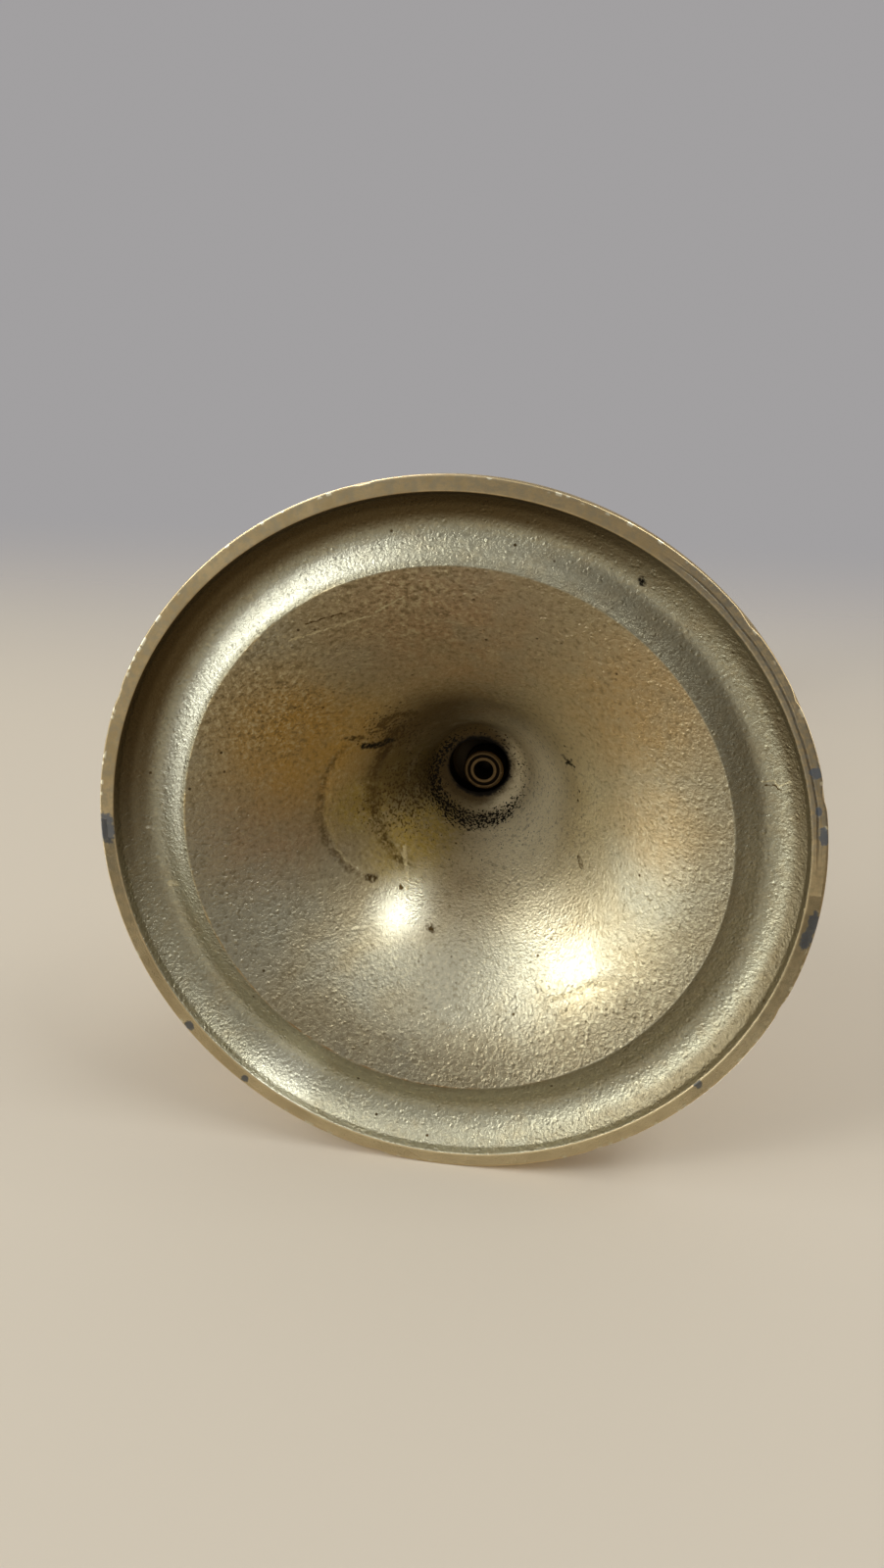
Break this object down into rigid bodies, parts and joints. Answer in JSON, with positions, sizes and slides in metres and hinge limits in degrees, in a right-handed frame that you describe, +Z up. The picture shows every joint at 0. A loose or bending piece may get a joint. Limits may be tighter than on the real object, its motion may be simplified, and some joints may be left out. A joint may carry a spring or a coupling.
{
  "type": "candlestick",
  "caption": "Turned brass candlestick with a hollow cast trumpet foot, a baluster stem on a tie rod, and a lift-out nozzle with a drip pan.",
  "frame": {"origin": "centre of the foot rim's flat face, where the candlestick stands on the table", "axes": "+Z up along the stem from the foot to the candle; X and Y are any two directions across it, as the piece is turned"},
  "size_m": [0.12, 0.12, 0.2105],
  "materials": {
    "cast_brass": "sand-cast inside with olive-brown tarnish, faced rim, turned and rubbed outside",
    "turned_brass": "turned and polished, with tarnish in the recesses",
    "bright_brass": "turned, bright brass with fine lathe lines"
  },
  "bodies": {
    "candlestick": {"foot": "cast_brass", "tie_rod": "bright_brass", "base_collar": "turned_brass", "lower_baluster": "turned_brass", "centre_knop": "turned_brass", "upper_baluster": "turned_brass", "neck_ring": "turned_brass", "candle_socket": "turned_brass"},
    "nozzle": {"drip_pan": "turned_brass", "candle_tube": "turned_brass"}
  },
  "joints": [
    {"name": "nozzle_lift", "type": "slide", "parent": "candlestick", "child": "nozzle", "axis": [0, 0, 1], "range_m": [0, 0.035]}
  ]
}
